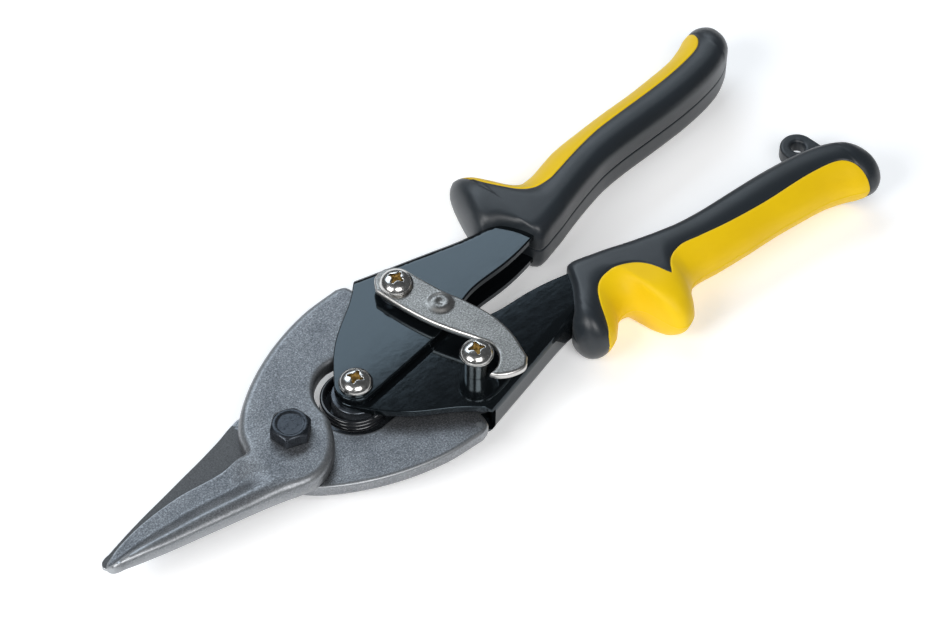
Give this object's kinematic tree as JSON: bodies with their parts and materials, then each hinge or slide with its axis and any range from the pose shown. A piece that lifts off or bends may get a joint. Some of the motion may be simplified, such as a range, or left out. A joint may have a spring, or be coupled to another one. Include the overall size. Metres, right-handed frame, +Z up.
{
  "type": "aviation snips",
  "caption": "Compound-action hand shears for sheet metal: forged curved blades, folded channel handles with moulded grips, coil return spring and a hook latch.",
  "frame": {"origin": "on the surface the closed snips lie on, under the middle of their bounding box", "axes": "+X from the blade tips towards the handle ends, +Y towards the handle that carries the latch, +Z up, along every pivot"},
  "size_m": [0.25, 0.08, 0.025],
  "materials": {
    "forged_steel": "drop-forged blade steel, sand-blasted, fine satin grain",
    "black_oxide": "semi-gloss black-oxide steel",
    "black_enamel": "gloss black enamel on folded steel",
    "nickel": "bright nickel plate",
    "tumbled_nickel": "tumbled nickel plate with a grainy face and bright edges",
    "spring_steel": "gloss black phosphated wire",
    "zinc": "zinc-plated washer steel",
    "black_rubber": "soft matt blue-black moulded rubber",
    "yellow_rubber": "soft satin yellow moulded rubber"
  },
  "bodies": {
    "lower_blade": {"lower_blade": "forged_steel", "pivot_bolt": "black_oxide", "pivot_washer": "black_oxide", "pivot_nut": "black_oxide"},
    "upper_blade": {"upper_blade": "forged_steel"},
    "left_handle": {"left_frame": "black_enamel", "left_grip": "black_rubber", "left_grip_inlay": "yellow_rubber", "centre_screw": "nickel", "centre_nut": "nickel", "centre_upper_washer": "black_oxide", "centre_lower_washer": "black_oxide", "spring_bush": "black_oxide", "torsion_spring": "spring_steel", "left_tail_screw": "nickel", "left_tail_nut": "nickel", "left_tail_spacer": "zinc", "latch_spacer": "black_oxide"},
    "right_handle": {"right_frame": "black_enamel", "right_grip": "black_rubber", "right_grip_inlay": "yellow_rubber", "right_tail_screw": "nickel", "right_tail_nut": "nickel", "right_tail_spacer": "zinc", "catch_sleeve": "nickel"},
    "latch": {"latch": "tumbled_nickel"}
  },
  "joints": [
    {"name": "jaw_open", "type": "hinge", "parent": "lower_blade", "child": "upper_blade", "pos_m": [-0.06375, 0, 0.01055], "axis": [0, 0, 1], "range_deg": [0, 20], "deforming": ["torsion_spring"]},
    {"name": "left_handle_swing", "type": "hinge", "parent": "upper_blade", "child": "left_handle", "pos_m": [-0.01315, 0.0164, 0.01055], "axis": [0, 0, 1], "range_deg": [0, 9.2]},
    {"name": "right_handle_swing", "type": "hinge", "parent": "lower_blade", "child": "right_handle", "pos_m": [-0.01315, -0.0164, 0.01055], "axis": [0, 0, 1], "range_deg": [-9.2, 0]},
    {"name": "latch_swing", "type": "hinge", "parent": "left_handle", "child": "latch", "pos_m": [-0.01315, 0.0164, 0.02075], "axis": [0, 0, 1], "range_deg": [0, 60]}
  ],
  "couplings": [
    {"joint": "left_handle_swing", "follows": "jaw_open", "ratio": 0.46},
    {"joint": "right_handle_swing", "follows": "jaw_open", "ratio": -0.46},
    {"joint": "latch_swing", "follows": "jaw_open", "ratio": 3}
  ]
}
